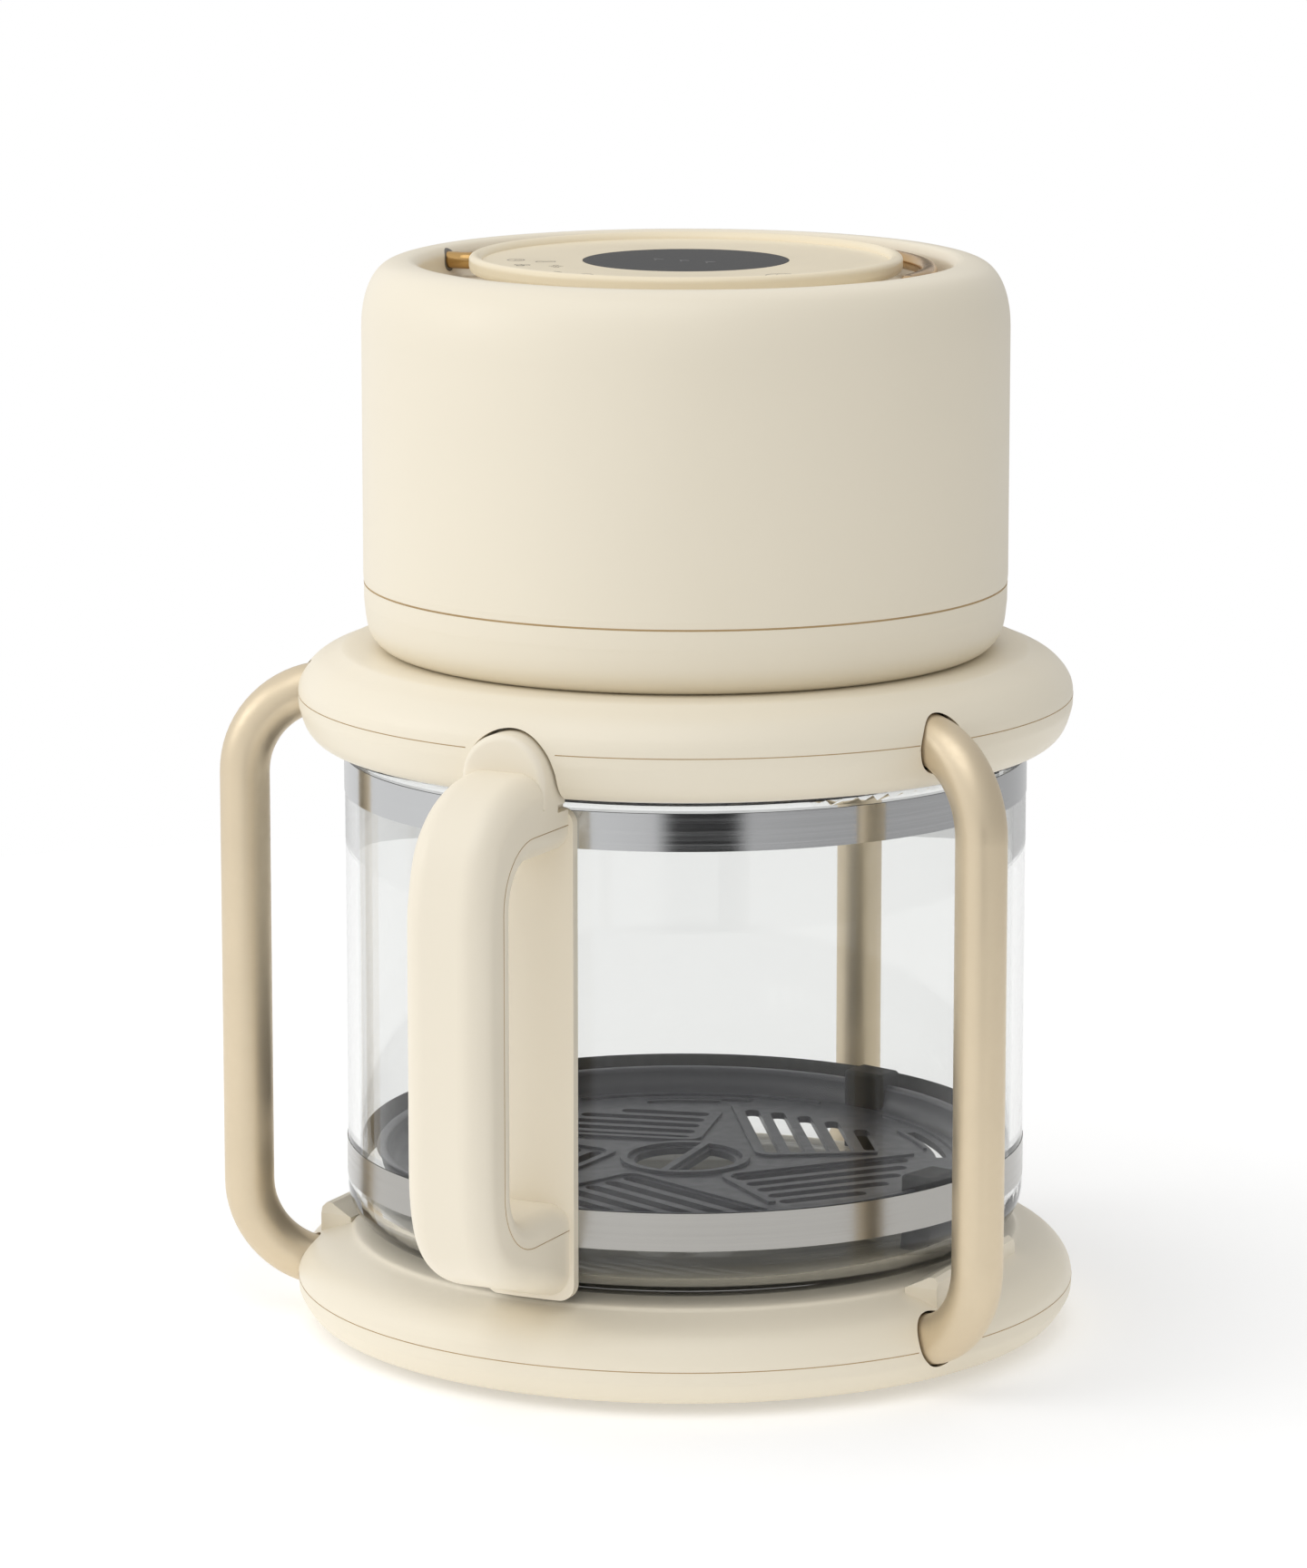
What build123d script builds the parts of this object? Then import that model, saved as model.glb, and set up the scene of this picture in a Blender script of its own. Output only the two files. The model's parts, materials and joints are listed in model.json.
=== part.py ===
from build123d import *
import math
import os

# Glass-bowl air fryer. Millimetres. +Z up, origin at the centre of the base on
# the surface it stands on, front (the pull-out handle) towards -Y.

os.makedirs("parts", exist_ok=True)

# ---------------------------------------------------------------- dimensions
BASE_R = 125.0        # base, largest radius, at the seam
BASE_SEAM_Z = 15.0
BASE_TOP_Z = 31.0
FOOT_H = 3.0
WALL = 2.4            # moulded cover wall

TUBE_R = 8.0          # post tube, outside
TUBE_WALL = 1.5
POST_R = 141.0        # radius of the posts' vertical axis
POST_BEND = 28.0
POST_Z0 = 16.0        # lower stub axis
POST_Z1 = 206.0       # upper stub axis
POST_ANGLES = {"post_right": 65.25, "post_left": -65.25, "post_rear": 180.0}
TUBE_HOLE_R = 8.8

RING_R = 123.3        # collar, largest radius
RING_SEAM_Z = 205.5
RING_BOT_Z = 190.4
RING_TOP_Z = 219.9

HEAD_R = 102.3
HEAD_SEAM_Z = 241.1
CREST_Z = 343.0
RECESS_R = 84.0
RECESS_Z = 333.0

PANEL_R = 68.3
PANEL_TOP_Z = 344.5
DISPLAY_R = 32.45

BAIL_R = 2.7
BAIL_Z = 338.5
BAIL_ARC = 75.0
BAIL_BEND = 4.0
BUSH_R = 3.7

GLASS_R = 108.7
GLASS_WALL = 4.0
GLASS_BOT_Z = 31.5
GLASS_RIM_Z = 188.8
GLASS_CORNER = 14.0
BAND_R = 108.9
GROOVE_R = 107.8
LOW_BAND = (49.0, 61.0)
TOP_BAND = (174.2, 185.9)

PLATE_R = 112.0       # handle plate, outer surface
GRIP_IN = 146.0
GRIP_OUT = 168.8
GRIP_HALF_W = 14.0
OPEN_Z = (63.0, 174.0)
TAB_R = 128.0
TAB_HALF_W = 14.0
TAB_ARCH_Z = 197.5    # centre of the tab's round top

TRAY_RIM_R = 99.5
TRAY_RIM_Z = 58.8
TRAY_FLOOR_Z = 51.0


# ------------------------------------------------------------------- helpers
def v(r, z):
    return Vector(r, 0, z)


def rev(*segs, arc=360.0):
    """Turn a closed profile about Z. Each seg is a list of (r, z) points:
    two points make a line, more make a smooth curve. A tuple (points, t0, t1)
    is a curve with those end directions."""
    edges = []
    for s in segs:
        if isinstance(s, tuple):
            pts = [v(*p) for p in s[0]]
            edges.append(Edge.make_spline(pts, tangents=[v(*s[1]), v(*s[2])]))
            continue
        pts = [v(*p) for p in s]
        if len(pts) == 2:
            edges.append(Edge.make_line(pts[0], pts[1]))
        else:
            edges.append(Edge.make_spline(pts))
    first = segs[0][0][0] if isinstance(segs[0], tuple) else segs[0][0]
    last = segs[-1][0][-1] if isinstance(segs[-1], tuple) else segs[-1][-1]
    if math.dist(first, last) > 1e-6:
        edges.append(Edge.make_line(v(*last), v(*first)))
    face = Face(Wire(edges))
    return revolve(face, axis=Axis.Z, revolution_arc=arc)


def chain(*pts):
    return [[pts[i], pts[i + 1]] for i in range(len(pts) - 1)]


def ring_box(r0, r1, z0, z1):
    return rev(*chain((r0, z0), (r1, z0), (r1, z1), (r0, z1), (r0, z0)))


def cyl(r, z0, z1, x=0.0, y=0.0):
    return Pos(x, y, (z0 + z1) / 2) * Cylinder(r, z1 - z0)


def tube(r0, r1, z0, z1, x=0.0, y=0.0):
    return cyl(r1, z0, z1, x, y) - cyl(r0, z0 - 1, z1 + 1, x, y)


def block(x0, x1, y0, y1, z0, z1):
    return Pos((x0 + x1) / 2, (y0 + y1) / 2, (z0 + z1) / 2) * Box(x1 - x0, y1 - y0, z1 - z0)


def polar(r, deg):
    """Point at an angle measured from the front (-Y) towards +X."""
    a = math.radians(deg)
    return r * math.sin(a), -r * math.cos(a)


def turn(shape, deg):
    """Turn a shape made on the front side (-Y) round to angle deg."""
    return Rot(0, 0, deg) * shape


def xcyl(r, x0, x1, y, z):
    return Pos((x0 + x1) / 2, y, z) * Rot(0, 90, 0) * Cylinder(r, abs(x1 - x0))


def ycyl(r, y0, y1, x, z):
    return Pos(x, (y0 + y1) / 2, z) * Rot(90, 0, 0) * Cylinder(r, abs(y1 - y0))


def fuse(items):
    out = items[0]
    for i in items[1:]:
        out = out + i
    return out


NODES = {}


def save(name, shape):
    solids = shape.solids()
    NODES[name] = shape
    body = solids[0] if len(solids) == 1 else Compound(children=list(solids))
    export_step(body, os.path.join("parts", name + ".step"))


# --------------------------------------------------------------- post tubes
def post_path():
    """Centre line in the r-z plane of one post."""
    r_in = 106.0
    b = POST_BEND
    z0, z1, r = POST_Z0, POST_Z1, POST_R
    k = math.sqrt(0.5)
    return Wire([
        Edge.make_line(v(r_in, z0), v(r - b, z0)),
        Edge.make_three_point_arc(v(r - b, z0), v(r - b + b * k, z0 + b - b * k), v(r, z0 + b)),
        Edge.make_line(v(r, z0 + b), v(r, z1 - b)),
        Edge.make_three_point_arc(v(r, z1 - b), v(r - b + b * k, z1 - b + b * k), v(r - b, z1)),
        Edge.make_line(v(r - b, z1), v(r_in, z1)),
    ])


path = post_path()
section_plane = Plane(origin=(106.0, 0, POST_Z0), z_dir=(1, 0, 0))
post_solid_x = sweep(section_plane * Circle(TUBE_R), path=path)
post_core_x = sweep(section_plane * Circle(TUBE_R - TUBE_WALL), path=path)
post_x = post_solid_x - post_core_x
# the profile above lies along +X; angle 0 is -Y, so turn by angle - 90
posts = {n: Rot(0, 0, a - 90) * post_x for n, a in POST_ANGLES.items()}
post_full = {n: Rot(0, 0, a - 90) * post_solid_x for n, a in POST_ANGLES.items()}
for n, s in posts.items():
    save(n, s)


post_clear_x = sweep(section_plane * Circle(TUBE_HOLE_R), path=path)
post_clear = fuse([Rot(0, 0, a - 90) * post_clear_x for a in POST_ANGLES.values()])


# --------------------------------------------------------------------- base
base_low_out = [(BASE_R, BASE_SEAM_Z), (124.1, 9.6), (121.4, 5.4), (118.6, 3.5), (116.0, FOOT_H)]
base_lower = rev(
    [(0, FOOT_H), (116.0, FOOT_H)],
    (base_low_out[::-1], (1, 0), (0, 1)),
    [(BASE_R, BASE_SEAM_Z), (BASE_R - WALL, BASE_SEAM_Z)],
    [(BASE_R - WALL, BASE_SEAM_Z), (121.6, 10.4), (118.8, 6.9), (115.0, FOOT_H + WALL + 0.2)],
    [(115.0, FOOT_H + WALL + 0.2), (0, FOOT_H + WALL + 0.2)],
)
base_up_out = [(BASE_R, BASE_SEAM_Z), (124.6, 18.0), (122.0, 22.5), (116.0, 26.5), (108.0, 29.5), (96.0, BASE_TOP_Z)]
base_upper = rev(
    (base_up_out, (0, 1), (-1, 0)),
    [(96.0, BASE_TOP_Z), (0, BASE_TOP_Z)],
    [(0, BASE_TOP_Z), (0, BASE_TOP_Z - WALL)],
    [(0, BASE_TOP_Z - WALL), (95.5, BASE_TOP_Z - WALL)],
    [(95.5, BASE_TOP_Z - WALL), (107.2, 27.1), (114.8, 24.2), (120.2, 20.9), (122.4, 17.2), (BASE_R - WALL, BASE_SEAM_Z)],
    [(BASE_R - WALL, BASE_SEAM_Z), (BASE_R, BASE_SEAM_Z)],
)
base_dome = rev(
    (base_up_out, (0, 1), (-1, 0)),
    [(96.0, BASE_TOP_Z), (0, BASE_TOP_Z)],
    [(0, BASE_TOP_Z), (0, BASE_SEAM_Z)],
    [(0, BASE_SEAM_Z), (BASE_R, BASE_SEAM_Z)],
)
FLOOR_IN = FOOT_H + WALL + 0.2          # 5.6
screw_at = [polar(72, a) for a in (0, 90, 180, 270)]
foot_at = [polar(92, a) for a in (45, 135, 225, 315)]
for x, y in screw_at:
    base_lower -= cyl(2.0, 0, 8, x, y)
    base_lower -= cyl(4.2, FOOT_H - 1, FOOT_H + 1.4, x, y)
    base_upper += tube(2.0, 5.0, FLOOR_IN + 2.0, BASE_TOP_Z - WALL, x, y)
for x, y in foot_at:
    base_lower -= cyl(3.0, 0, 8, x, y)
base_lower -= post_clear
base_upper -= post_clear
save("base_lower_cover", base_lower)
save("base_upper_cover", base_upper)

save("base_feet", fuse([cyl(9.0, 0.0, FOOT_H, x, y) - (cyl(11, -0.1, 0.6, x, y) - Pos(x, y, 0.3) * Cone(8.4, 9.0, 0.6))
                        + cyl(3.0, FOOT_H, FLOOR_IN, x, y) for x, y in foot_at]))
save("base_screws", fuse([cyl(3.9, FOOT_H + 0.2, FOOT_H + 1.4, x, y) - cyl(1.4, 0, FOOT_H + 0.9, x, y)
                          + cyl(2.0, FOOT_H + 1.4, 20.0, x, y) for x, y in screw_at]))

# flat steel frame in the base that the three posts are clamped to
base_frame = ring_box(60.0, 112.0, FLOOR_IN, FLOOR_IN + 2.0)
for x, y in screw_at:
    base_frame -= cyl(2.0, 0, 12, x, y)
save("base_frame", base_frame)


def clamp_set(z_lo, z_hi, r0=97.0, r1=111.0, half=13.0):
    out = []
    for n, a in POST_ANGLES.items():
        b = turn(block(-half, half, -r1, -r0, z_lo, z_hi), a)
        out.append(b - post_full[n])
    return out


base_clamps = fuse(clamp_set(FLOOR_IN + 2.0, 22.0))
save("base_post_clamps", base_clamps)

# two low ribs on the base that guide the glass bowl on its way in
rail_prof = Face(Wire([
    Edge.make_line(Vector(98.0, 0, 20.0), Vector(98.0, 0, 31.05)),
    Edge.make_line(Vector(98.0, 0, 31.05), Vector(104.2, 0, 34.0)),
    Edge.make_line(Vector(104.2, 0, 34.0), Vector(105.6, 0, 34.8)),
    Edge.make_line(Vector(105.6, 0, 34.8), Vector(107.6, 0, 34.8)),
    Edge.make_line(Vector(107.6, 0, 34.8), Vector(108.9, 0, 33.4)),
    Edge.make_line(Vector(108.9, 0, 33.4), Vector(108.9, 0, 20.0)),
    Edge.make_line(Vector(108.9, 0, 20.0), Vector(98.0, 0, 20.0)),
]))
rail = extrude(rail_prof, amount=62.0, dir=(0, 1, 0))
rail = Pos(0, -46.0, 0) * rail
front_cut = Pos(103.5, -47.0, 37.0) * Rot(-22, 0, 0) * Box(20, 6, 18)
back_cut = Pos(103.5, 16.0, 37.0) * Rot(35, 0, 0) * Box(20, 6, 18)
rail = rail - front_cut - back_cut - base_dome
rails = rail + mirror(rail, about=Plane.YZ)
save("bowl_guide_rails", rails)

# --------------------------------------------------------------------- ring
ring_up_out = [(RING_R, RING_SEAM_Z), (122.6, 209.7), (120.4, 213.1), (115.7, 216.8), (110.6, 218.9), (104.5, RING_TOP_Z)]
ring_up_in = [(103.5, 217.5), (109.6, 216.5), (114.2, 214.7), (118.5, 211.3), (120.3, 208.7), (RING_R - WALL, RING_SEAM_Z)]
ring_lo_out = [(114.2, RING_BOT_Z), (118.6, 192.3), (121.3, 196.0), (122.8, 200.5), (RING_R, RING_SEAM_Z)]
ring_lo_in = [(RING_R - WALL, RING_SEAM_Z), (120.4, 201.0), (119.0, 197.2), (116.9, 194.4), (113.2, 192.8)]
RING_IN_R = 96.0
HEAD_HOLE_R = 88.0
ring_upper = rev(
    (ring_up_out, (0, 1), (-1, 0)),
    [(104.5, RING_TOP_Z), (HEAD_HOLE_R, RING_TOP_Z)],
    [(HEAD_HOLE_R, RING_TOP_Z), (HEAD_HOLE_R, 217.5)],
    [(HEAD_HOLE_R, 217.5), (103.5, 217.5)],
    ring_up_in,
    [(RING_R - WALL, RING_SEAM_Z), (RING_R, RING_SEAM_Z)],
)
ring_lower = rev(
    (ring_lo_out, (1, 0.1), (0, 1)),
    [(RING_R, RING_SEAM_Z), (RING_R - WALL, RING_SEAM_Z)],
    ring_lo_in,
    [(113.2, 192.8), (RING_IN_R, 192.8)],
    [(RING_IN_R, 192.8), (RING_IN_R, RING_BOT_Z)],
    [(RING_IN_R, RING_BOT_Z), (114.2, RING_BOT_Z)],
)
ring_cavity = rev(
    ring_lo_in[::-1],
    ring_up_in[::-1],
    [(103.5, 217.5), (90.0, 217.5)],
    [(90.0, 217.5), (90.0, 192.8)],
    [(90.0, 192.8), (113.2, 192.8)],
)


def tomb(half, y0, y1, z0, arch_z=TAB_ARCH_Z):
    """Round-topped block standing on z0, from y0 (outer) to y1."""
    b = block(-half, half, y0, y1, z0, arch_z)
    return b + ycyl(half, y0, y1, 0, arch_z)


notch = tomb(15.0, -140.0, -112.6, 180.0)
ring_upper = ring_upper - notch - post_clear
ring_lower = ring_lower - notch - post_clear
save("ring_upper_cover", ring_upper)
save("ring_lower_cover", ring_lower)

pocket = (tomb(16.4, -130.0, -111.2, 192.8) - tomb(15.0, -140.0, -112.6, 180.0)) & ring_cavity
pocket = pocket.solids().sort_by(SortBy.VOLUME)[-1]
pocket = Part(pocket.wrapped) if not isinstance(pocket, Part) else pocket
save("tab_pocket_liner", pocket)
save("bowl_sensor", block(-7, 7, -111.2, -108.6, 199.0, 206.0))

ring_frame = ring_box(80.0, 111.0, 214.0, 215.6)
STANDOFFS = [polar(84.0, a) for a in (30, 120, 210, 300)]
for x, y in STANDOFFS:
    ring_frame -= cyl(1.8, 200, 230, x, y)
save("ring_frame", ring_frame)
ring_clamps = fuse(clamp_set(196.0, 214.0))
save("ring_post_clamps", ring_clamps)
save("bowl_seal", rev(*chain((103.2, 189.5), (104.2, 189.2), (105.8, 189.2), (106.8, 189.5), (106.8, RING_BOT_Z), (103.2, RING_BOT_Z), (103.2, 189.5))))

# ------------------------------------------------------------- heating parts
FLANGE_Z = 192.8
reflector = rev(*chain((78.0, FLANGE_Z), (103.0, FLANGE_Z), (103.0, FLANGE_Z + 0.8), (78.8, FLANGE_Z + 0.8),
                       (78.8, 226.0), (6.0, 226.0), (6.0, 225.2), (78.0, 225.2), (78.0, FLANGE_Z)))
COIL_R = 64.0
COIL_Z = 204.0
COIL_T = 3.2
leg_angles = (8.0, 352.0)
for a in leg_angles:
    x, y = polar(COIL_R, a)
    reflector -= cyl(COIL_T, 220, 230, x, y)
px, py = polar(70.0, 100.0)
reflector -= cyl(2.0, 220, 230, px, py)
save("heat_reflector", reflector)

coil_path = Wire([Edge.make_circle(COIL_R, plane=Plane(origin=(0, 0, COIL_Z)), start_angle=-82.0, end_angle=262.0)])
start_pt = coil_path.edges()[0].position_at(0)
tan_pt = coil_path.edges()[0].tangent_at(0)
coil = sweep(Plane(origin=start_pt, z_dir=tan_pt) * Circle(COIL_T), path=coil_path)
for a in leg_angles:
    x, y = polar(COIL_R, a)
    coil += Pos(x, y, COIL_Z) * Sphere(COIL_T)
    coil += cyl(COIL_T, COIL_Z, 236.0, x, y)
save("heater_coil", coil)
probe = cyl(2.0, 212.0, 236.0, px, py) + Pos(px, py, 212.0) * Sphere(2.0)
save("temperature_probe", probe)

pad = tube(12.0, 76.0, 226.0, 233.0)
for a in leg_angles:
    x, y = polar(COIL_R, a)
    pad -= cyl(COIL_T + 0.6, 220, 240, x, y)
pad -= cyl(2.6, 220, 240, px, py)
pad -= block(-58, -36, -9, 9, 230.0, 240)
save("insulation_pad", pad)
save("thermal_fuse", block(-56, -38, -5, 5, 230.0, 235.0))

g = ring_box(91.0, 95.4, 191.4, FLANGE_Z)
for r in (18.0, 30.0, 42.0, 54.0, 66.0, 78.0):
    g += ring_box(r - 1.1, r + 1.1, 191.4, FLANGE_Z)
for a in range(0, 180, 30):
    g += Rot(0, 0, a) * block(-93.0, 93.0, -1.1, 1.1, 191.4, FLANGE_Z)
g = g - cyl(16.0, 190, 194) + ring_box(14.5, 18.0, 191.4, FLANGE_Z)
save("heater_guard", g)

# -------------------------------------------------------------- rotor, motor
SHAFT_R = 3.0
MOTOR_Z = (258.0, 288.0)
shaft = cyl(SHAFT_R, 206.0, 294.0)
save("fan_shaft", shaft)


def blade_fan(n, r_hub, r_out, z0, z1, bore, twist, plate_z=None):
    f = tube(bore, r_hub, z0, z1)
    blade = Pos((r_hub + r_out) / 2 - 0.5, 0, (z0 + z1) / 2) * Rot(twist, 0, 0) * Box(r_out - r_hub + 1.0, 1.6, (z1 - z0) * 1.05)
    blade = blade & tube(bore, r_out, z0, z1)
    for i in range(n):
        f += Rot(0, 0, 360.0 * i / n) * blade
    if plate_z is not None:
        f += tube(bore, r_out, plate_z, plate_z + 1.0)
    return f


conv_fan = blade_fan(9, 9.0, 50.0, 211.0, 222.0, SHAFT_R, 18.0, plate_z=221.0)
save("convection_fan", conv_fan)
cool_fan = blade_fan(11, 10.0, 40.0, 243.0, 252.0, SHAFT_R, 35.0)
save("cooling_fan", cool_fan)
save("fan_nut", (extrude(Pos(0, 0, 206.5) * RegularPolygon(5.2, 6), amount=4.5) - cyl(SHAFT_R, 200, 212)))

MOTOR_PLATE_Z = 238.0
mplate = tube(8.0, 93.0, MOTOR_PLATE_Z, MOTOR_PLATE_Z + 1.2)
for x, y in STANDOFFS:
    mplate -= cyl(1.8, 230, 245, x, y)
BOARD_AT = [polar(78.0, a) for a in (45, 135, 225, 315)]
for a in leg_angles:
    x, y = polar(COIL_R, a)
    mplate -= cyl(5.0, 230, 245, x, y)
mplate -= cyl(4.0, 230, 245, px, py)
save("motor_plate", mplate)
save("plate_standoffs", fuse([tube(1.8, 3.2, 215.6, MOTOR_PLATE_Z, x, y) for x, y in STANDOFFS]))
save("plate_screws", fuse([cyl(1.8, 210.0, MOTOR_PLATE_Z + 1.2, x, y) + cyl(3.4, MOTOR_PLATE_Z + 1.2, MOTOR_PLATE_Z + 3.2, x, y) for x, y in STANDOFFS]))

bracket = tube(8.0, 48.0, 255.6, 257.0) - tube(30.0, 42.0, 250, 260) + fuse([Rot(0, 0, a) * block(28.0, 44.0, -5, 5, 255.6, 257.0) for a in (0, 120, 240)])
for a in (0, 120, 240):
    bracket += Rot(0, 0, a) * block(45.5, 48.0, -6, 6, MOTOR_PLATE_Z + 1.2, 256.0)
    bracket += Rot(0, 0, a) * block(45.5, 56.0, -6, 6, MOTOR_PLATE_Z + 1.2, MOTOR_PLATE_Z + 2.6)
save("motor_bracket", bracket)
motor = cyl(26.0, 257.0, MOTOR_Z[1]) + cyl(9.0, 255.6, 292.0) - cyl(SHAFT_R + 0.05, 240, 300)
motor = motor - tube(7.95, 60.0, 250.0, 257.0)
motor = motor - (tube(22.5, 40.0, 262.0, 283.0) & fuse([Rot(0, 0, a) * block(0, 40, -7, 7, 262, 283) for a in (45, 135, 225, 315)]))
save("fan_motor", motor)

board = block(-60, 60, -48, 48, 302.0, 303.6)
POSTS_B = [(52.0, 40.0), (-52.0, 40.0), (52.0, -40.0), (-52.0, -40.0)]
for x, y in POSTS_B:
    board -= cyl(1.6, 300, 306, x, y)
board += block(-45, -15, -30, 0, 303.6, 322.0)
board += block(0, 22, -25, -5, 303.6, 319.0)
board += cyl(8.0, 303.6, 323.0, 40.0, 5.0)
board += block(-38, -20, 14, 34, 303.6, 314.0)
board += block(2, 14, 16, 36, 303.6, 316.0)
save("power_board", board)
save("board_standoffs", fuse([cyl(3.2, MOTOR_PLATE_Z + 1.2, 302.0, x, y) + cyl(1.6, 302.0, 304.6, x, y) for x, y in POSTS_B]))

# --------------------------------------------------------------------- head
trim_out = ([(92.0, RING_TOP_Z), (96.4, 221.0), (99.6, 224.2), (101.3, 228.8), (101.9, 234.0), (102.1, HEAD_SEAM_Z)], (1, 0), (0, 1))
trim_in = [(99.6, HEAD_SEAM_Z), (99.3, 234.6), (98.6, 229.6), (97.2, 226.0), (94.8, 223.4), (91.5, 222.4)]
trim = rev(
    trim_out,
    [(102.1, HEAD_SEAM_Z), (99.6, HEAD_SEAM_Z)],
    trim_in,
    [(91.5, 222.4), (88.0, 222.4)],
    [(88.0, 222.4), (88.0, RING_TOP_Z)],
    [(88.0, RING_TOP_Z), (92.0, RING_TOP_Z)],
)
head = rev(
    [(102.1, HEAD_SEAM_Z), (HEAD_R, 243.5)],
    [(HEAD_R, 243.5), (HEAD_R, 322.0)],
    ([(HEAD_R, 322.0), (102.1, 326.2), (101.4, 330.6), (99.9, 335.2), (97.6, 339.0), (94.4, 341.6), (91.0, 342.7), (87.6, CREST_Z)], (0, 1), (-1, 0)),
    ([(87.6, CREST_Z), (85.4, 342.2), (84.3, 340.6), (RECESS_R, 338.5)], (-1, 0), (0, -1)),
    [(RECESS_R, 338.5), (RECESS_R, 336.0)],
    ([(RECESS_R, 336.0), (83.1, 333.9), (81.0, RECESS_Z)], (0, -1), (-1, 0)),
    [(81.0, RECESS_Z), (0, RECESS_Z)],
    [(0, RECESS_Z), (0, RECESS_Z - WALL)],
    [(0, RECESS_Z - WALL), (82.0, RECESS_Z - WALL)],
    [(82.0, RECESS_Z - WALL), (85.4, 331.9), (86.4, 335.0)],
    [(86.4, 335.0), (86.4, 339.0)],
    [(86.4, 339.0), (88.2, 340.4), (91.2, 340.1), (94.6, 338.4), (97.4, 334.8), (99.1, 329.8), (HEAD_R - WALL, 322.0)],
    [(HEAD_R - WALL, 322.0), (HEAD_R - WALL, HEAD_SEAM_Z)],
    [(HEAD_R - WALL, HEAD_SEAM_Z), (102.1, HEAD_SEAM_Z)],
)
# wire hole under the panel, bail bush holes, rear vent window, cord gland hole
head -= cyl(14.0, 325, 336)
for sgn in (1, -1):
    head -= xcyl(BUSH_R, sgn * 80.0, sgn * 92.0, 0, BAIL_Z)
VENT = (258.0, 300.0)
VENT_HALF = 34.0
vent_cut = block(-VENT_HALF, VENT_HALF, 80.0, 120.0, VENT[0], VENT[1])
head -= vent_cut
save("head_shell", head)

GLAND_Z = 231.0
trim -= ycyl(6.0, 80.0, 110.0, 0, GLAND_Z)
save("head_lower_trim", trim)
gland = ycyl(6.0, 96.0, 103.5, 0, GLAND_Z) + ycyl(8.0, 102.4, 106.0, 0, GLAND_Z) - ycyl(3.4, 90.0, 110.0, 0, GLAND_Z)
gland = gland - rev(
    trim_out, [(102.1, HEAD_SEAM_Z), (99.6, HEAD_SEAM_Z)], trim_in, [(91.5, 222.4), (88.0, 222.4)],
    [(88.0, 222.4), (88.0, RING_TOP_Z)], [(88.0, RING_TOP_Z), (92.0, RING_TOP_Z)]) + ycyl(6.0, 96.0, 103.0, 0, GLAND_Z) - ycyl(3.4, 90.0, 110.0, 0, GLAND_Z)
save("cord_gland", gland)

vent = tube(HEAD_R - WALL, HEAD_R, VENT[0], VENT[1]) & block(-VENT_HALF, VENT_HALF, 80.0, 120.0, VENT[0], VENT[1])
for i in range(8):
    z = VENT[0] + 4.4 + i * 4.75
    for sx in (-1, 1):
        vent -= block(sx * 16.0 - 13.5, sx * 16.0 + 13.5, 80.0, 120.0, z - 1.2, z + 1.2)
save("rear_vent_grille", vent)

# ------------------------------------------------------------ control panel
panel = rev(
    [(60.0, RECESS_Z), (60.0, 338.8)],
    [(60.0, 338.8), (66.4, 338.8)],
    [(66.4, 338.8), (67.7, 339.4), (PANEL_R, 340.8)],
    [(PANEL_R, 340.8), (PANEL_R, 342.6)],
    [(PANEL_R, 342.6), (67.8, 343.9), (66.4, PANEL_TOP_Z), (64.9, 343.9), (64.0, 342.4)],
    [(64.0, 342.4), (DISPLAY_R + 0.15, 342.4)],
    [(DISPLAY_R + 0.15, 342.4), (DISPLAY_R + 0.15, 340.2)],
    [(DISPLAY_R + 0.15, 340.2), (57.6, 340.2)],
    [(57.6, 340.2), (57.6, RECESS_Z)],
    [(57.6, RECESS_Z), (60.0, RECESS_Z)],
)
save("control_panel", panel)
save("display_window", cyl(DISPLAY_R, 340.2, 342.4))
save("display_module", block(-20, 20, -20, 20, 337.6, 340.2))
save("touch_board", cyl(54.0, 336.0, 337.6) - cyl(2.0, 330, 340, 46.0, 0) - cyl(2.0, 330, 340, -46.0, 0))
save("touch_board_spacers", cyl(3.5, RECESS_Z, 336.0, 46.0, 0) + cyl(3.5, RECESS_Z, 336.0, -46.0, 0)
     + cyl(2.0, 336.0, 338.4, 46.0, 0) + cyl(2.0, 336.0, 338.4, -46.0, 0))

# --------------------------------------------------------------------- bail
b = BAIL_BEND
ax = BAIL_ARC
k = math.sqrt(0.5)
xb = ax + b
BAIL_END = 89.0


def bv(x, y):
    return Vector(x, y, BAIL_Z)


bail_path = Wire([
    Edge.make_line(bv(BAIL_END, 0), bv(xb, 0)),
    Edge.make_three_point_arc(bv(xb, 0), bv(xb - b * k, b - b * k), bv(ax, b)),
    Edge.make_three_point_arc(bv(ax, b), bv(0, b + ax), bv(-ax, b)),
    Edge.make_three_point_arc(bv(-ax, b), bv(-xb + b * k, b - b * k), bv(-xb, 0)),
    Edge.make_line(bv(-xb, 0), bv(-BAIL_END, 0)),
])
bail = sweep(Plane(origin=(BAIL_END, 0, BAIL_Z), z_dir=(-1, 0, 0)) * Circle(BAIL_R), path=bail_path)
save("bail_handle", bail)
bushes = []
for s in (1, -1):
    bu = xcyl(BUSH_R, s * 82.0, s * 92.0, 0, BAIL_Z) - xcyl(BAIL_R + 0.05, s * 80.0, s * 90.2, 0, BAIL_Z)
    bushes.append(bu)
# flush with the recess wall
wall_zone = rev(
    [(93.0, 342.0), (87.6, 342.9)],
    ([(87.6, 342.9), (85.4, 342.2), (84.3, 340.6), (RECESS_R, 338.5)], (-1, 0), (0, -1)),
    [(RECESS_R, 338.5), (RECESS_R, 330.0)],
    [(RECESS_R, 330.0), (93.0, 330.0)],
    [(93.0, 330.0), (93.0, 342.0)],
)
bush = fuse(bushes) & wall_zone
save("bail_bushes", bush)

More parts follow.
